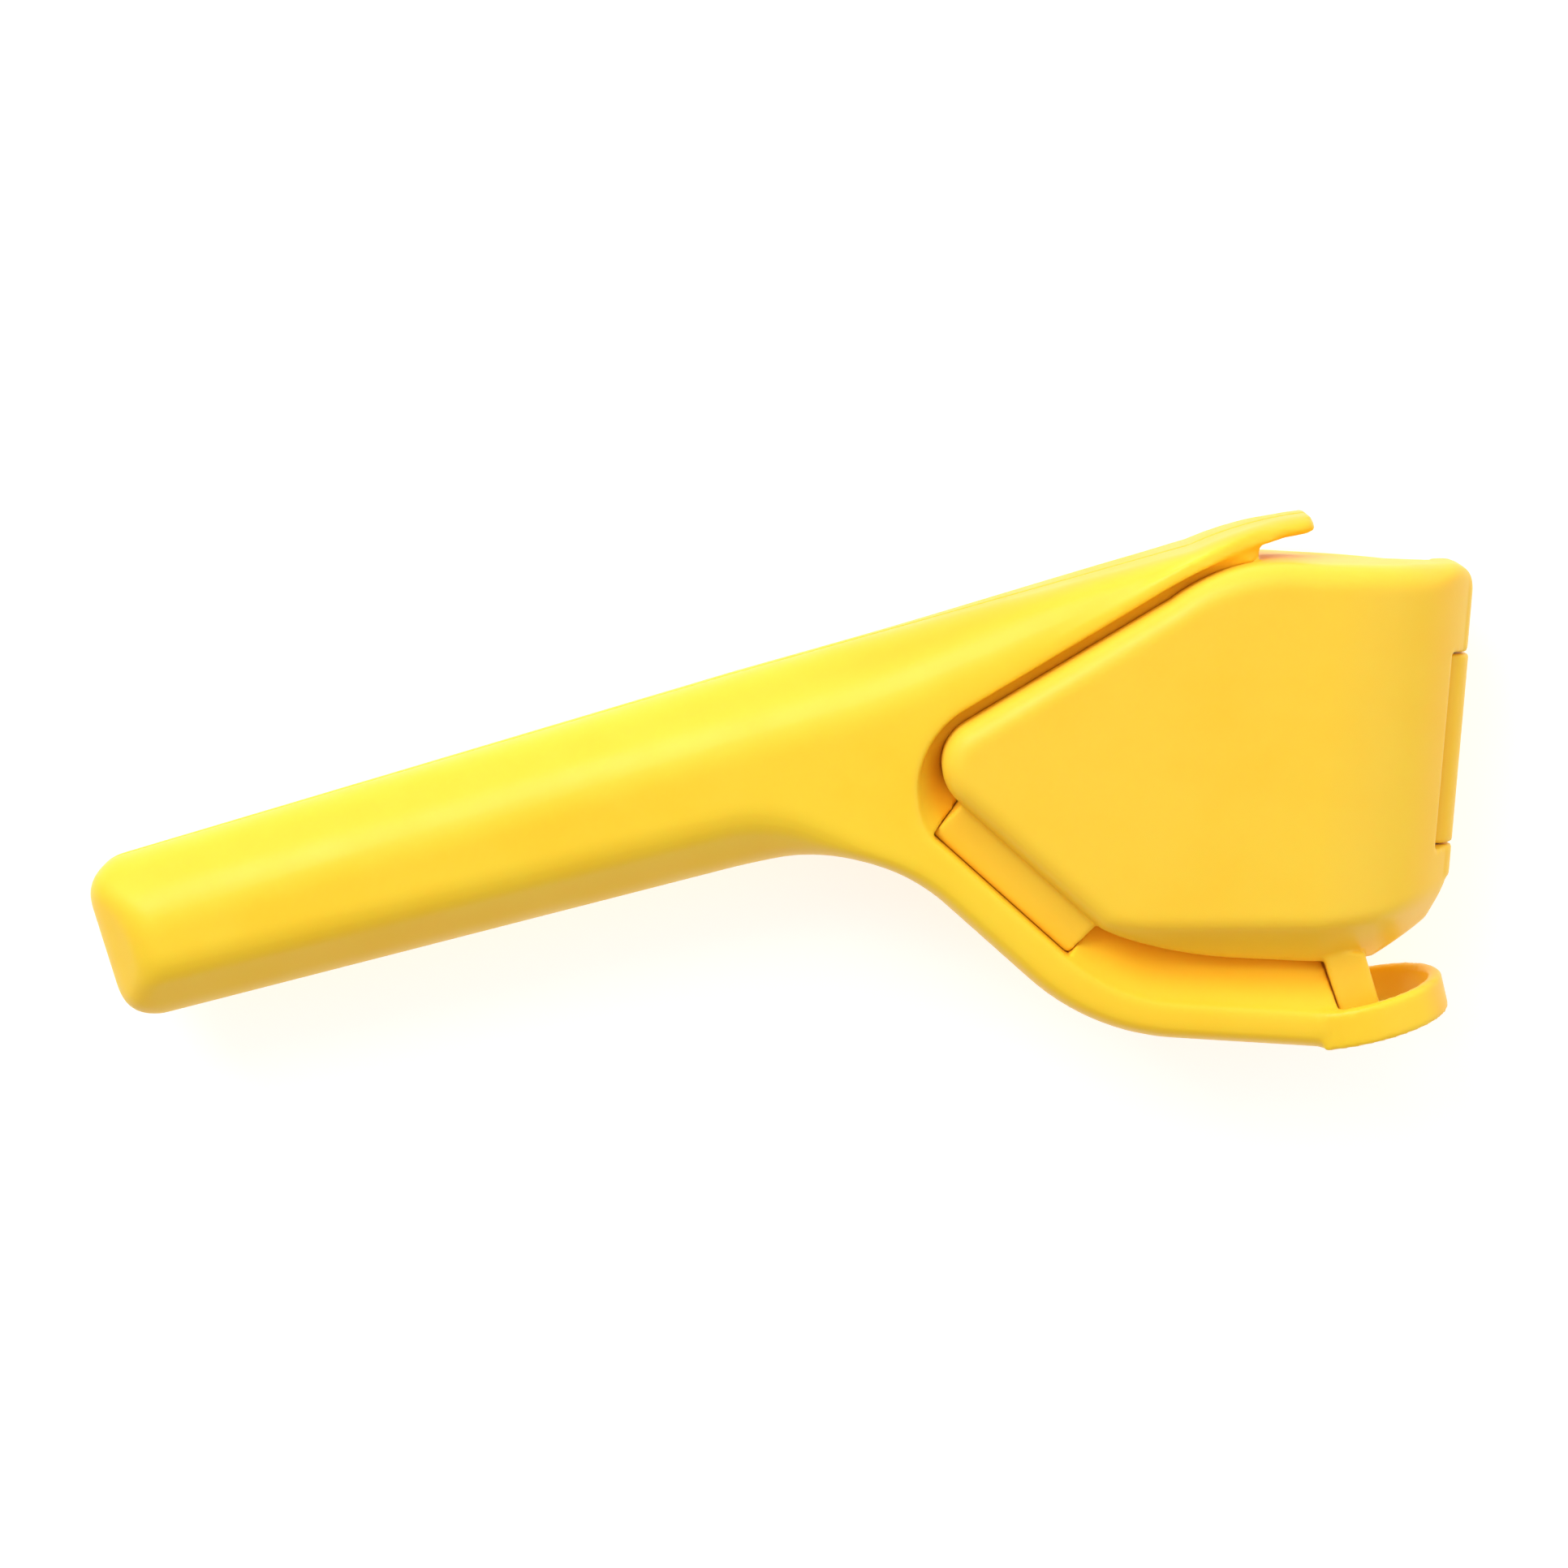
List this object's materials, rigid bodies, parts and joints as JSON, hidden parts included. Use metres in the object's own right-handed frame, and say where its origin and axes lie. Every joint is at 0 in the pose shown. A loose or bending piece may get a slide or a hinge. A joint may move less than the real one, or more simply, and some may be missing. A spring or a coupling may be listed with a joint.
{
  "type": "hinged lemon squeezer",
  "caption": "Flat hand-held citrus squeezer: mirrored handles with press plates in open frames, joined by a side hinge, with a spout ring below.",
  "frame": {"origin": "bottom centre of the box round the closed squeezer, lying on its rear plate", "axes": "+Z from the rear half to the front half, +Y along the hinge line towards the prong, +X from the grip towards the hinge"},
  "size_m": [0.2282, 0.097, 0.035],
  "materials": {
    "yellow_plastic": "satin moulded plastic",
    "pin_steel": "plain steel pin"
  },
  "bodies": {
    "front_half": {"front_handle": "yellow_plastic", "front_press_plate": "yellow_plastic", "main_hinge_pin": "pin_steel", "front_lug_pin": "pin_steel"},
    "rear_half": {"rear_handle": "yellow_plastic", "rear_press_plate": "yellow_plastic", "rear_lug_pin": "pin_steel"}
  },
  "joints": [
    {"name": "main_hinge", "type": "hinge", "parent": "front_half", "child": "rear_half", "pos_m": [0.10834, 0.01386, 0.0175], "axis": [0, -1, 0], "range_deg": [0, 70]}
  ]
}
